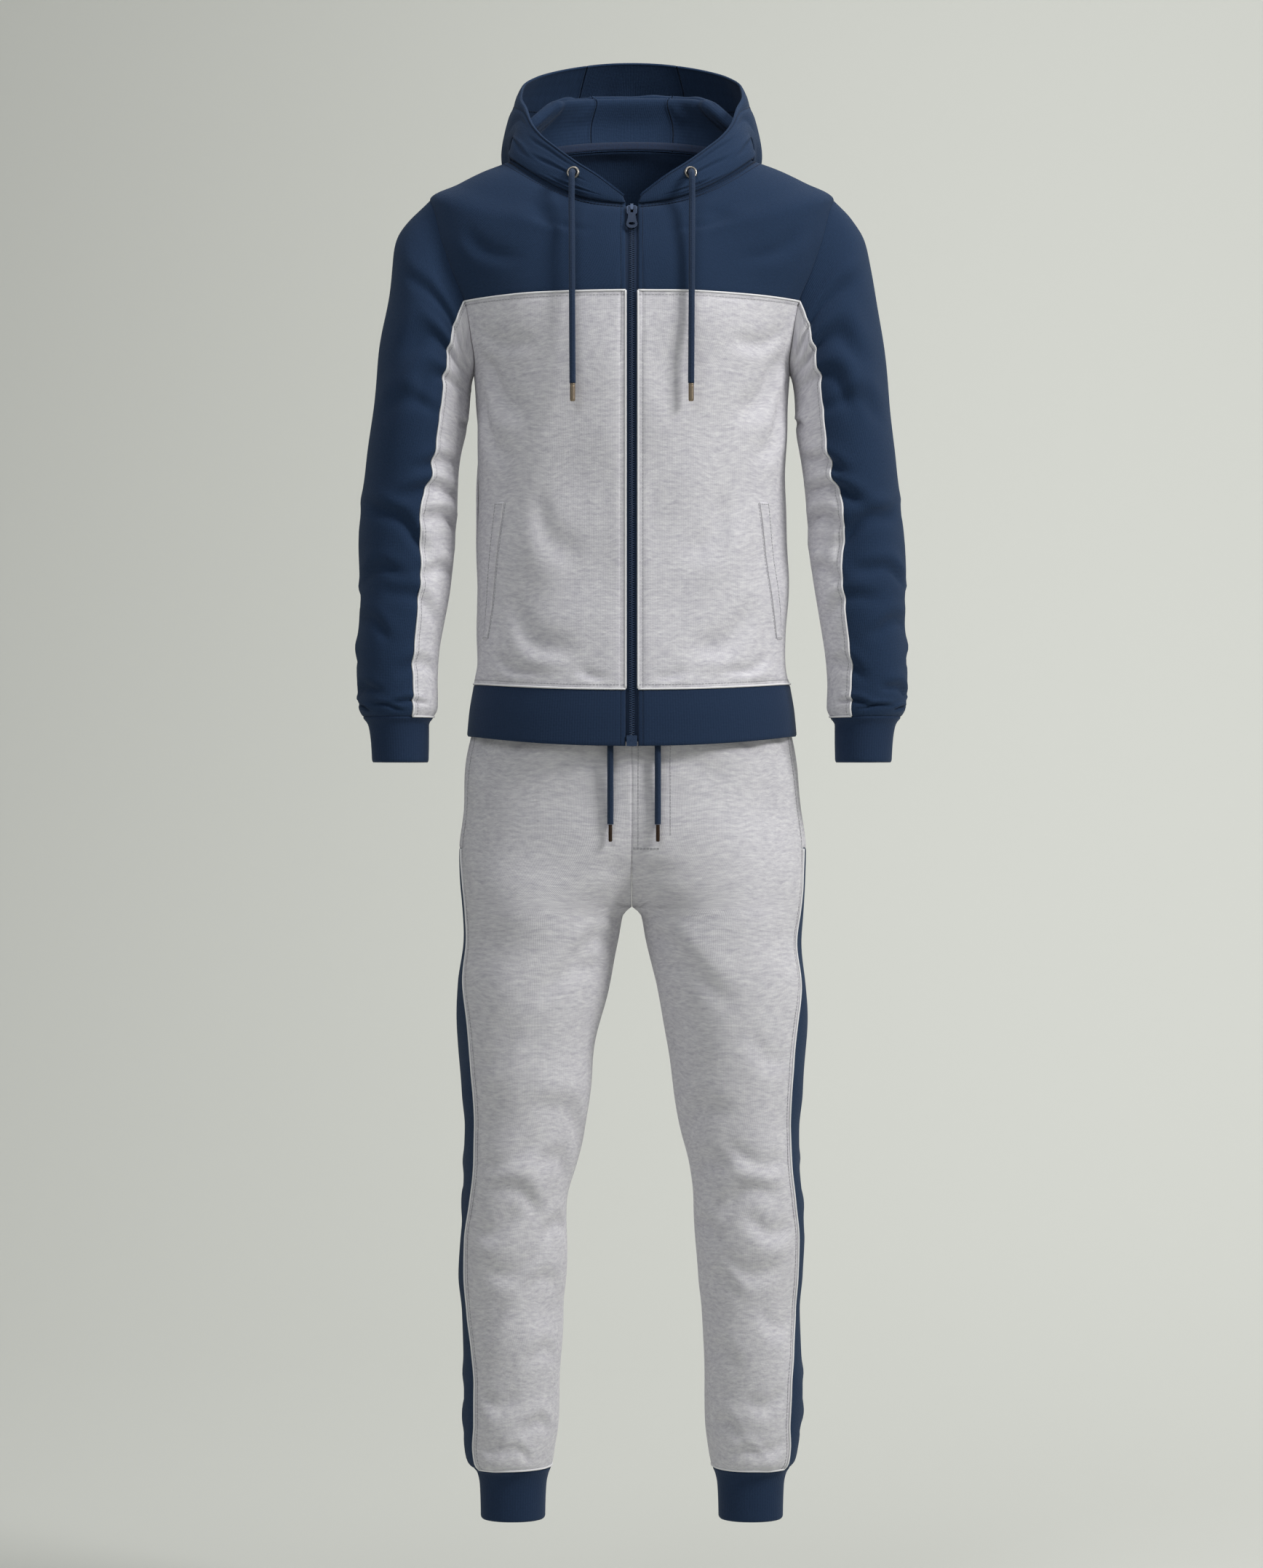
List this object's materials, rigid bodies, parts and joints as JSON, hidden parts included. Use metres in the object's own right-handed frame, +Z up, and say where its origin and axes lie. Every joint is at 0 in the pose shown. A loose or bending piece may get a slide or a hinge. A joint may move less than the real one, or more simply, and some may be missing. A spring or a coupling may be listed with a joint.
{
  "type": "hooded zip jacket and joggers tracksuit",
  "caption": "Hooded full-zip jacket and matching joggers with contrast yoke, sleeves, side stripes and rib trims, filled out as worn and hollow.",
  "frame": {"origin": "midway between the shoulders at the height of the neck's base, where a wearer carries the jacket", "axes": "+X to the right of the front view, +Y to the back, +Z up"},
  "size_m": [0.626, 0.2969, 1.6801],
  "materials": {
    "navy_fleece": "soft brushed navy loopback fleece",
    "grey_heather": "grey heather loopback fleece with fine violet grey streaks",
    "navy_rib": "navy rib knit",
    "cord": "round knitted navy drawcord",
    "neck_tape": "reddish grey herringbone tape",
    "zip": "navy moulded zip",
    "steel": "antiqued silver metal, the slider and pull dyed navy",
    "tip_brass": "dull brass",
    "tip_dark": "dark brown antiqued metal"
  },
  "bodies": {
    "garment": {"body_front_left": "grey_heather", "yoke_front_left": "navy_fleece", "body_front_right": "grey_heather", "yoke_front_right": "navy_fleece", "body_back": "grey_heather", "yoke_back": "navy_fleece", "hem_band": "navy_rib", "sleeve_outer_left": "navy_fleece", "sleeve_under_left": "grey_heather", "sleeve_cuff_left": "navy_rib", "sleeve_outer_right": "navy_fleece", "sleeve_under_right": "grey_heather", "sleeve_cuff_right": "navy_rib", "hood_side_left": "navy_fleece", "hood_side_right": "navy_fleece", "hood_centre": "navy_fleece", "neck_tape": "neck_tape", "zip_tape_left": "zip", "zip_tape_right": "zip", "zip_chain": "zip", "zip_box": "zip", "zip_slider": "steel", "pocket_welt_left": "grey_heather", "pocket_welt_right": "grey_heather", "eyelet_left": "steel", "eyelet_right": "steel", "hood_cord_left": "cord", "hood_cord_tip_left": "tip_brass", "hood_cord_right": "cord", "hood_cord_tip_right": "tip_brass", "leg_front_left": "grey_heather", "leg_back_left": "grey_heather", "hip_facing_left": "grey_heather", "side_stripe_left": "navy_fleece", "ankle_cuff_left": "navy_rib", "leg_front_right": "grey_heather", "leg_back_right": "grey_heather", "hip_facing_right": "grey_heather", "side_stripe_right": "navy_fleece", "ankle_cuff_right": "navy_rib", "waistband": "navy_rib", "waist_cord_left": "cord", "waist_cord_tip_left": "tip_dark", "waist_cord_right": "cord", "waist_cord_tip_right": "tip_dark"},
    "zip_pull": {"zip_pull": "steel"}
  },
  "joints": [
    {"name": "zip_pull_swing", "type": "hinge", "parent": "garment", "child": "zip_pull", "pos_m": [0, -0.08247, -0.05589], "axis": [-1, 0, 0], "range_deg": [0, 150]}
  ]
}
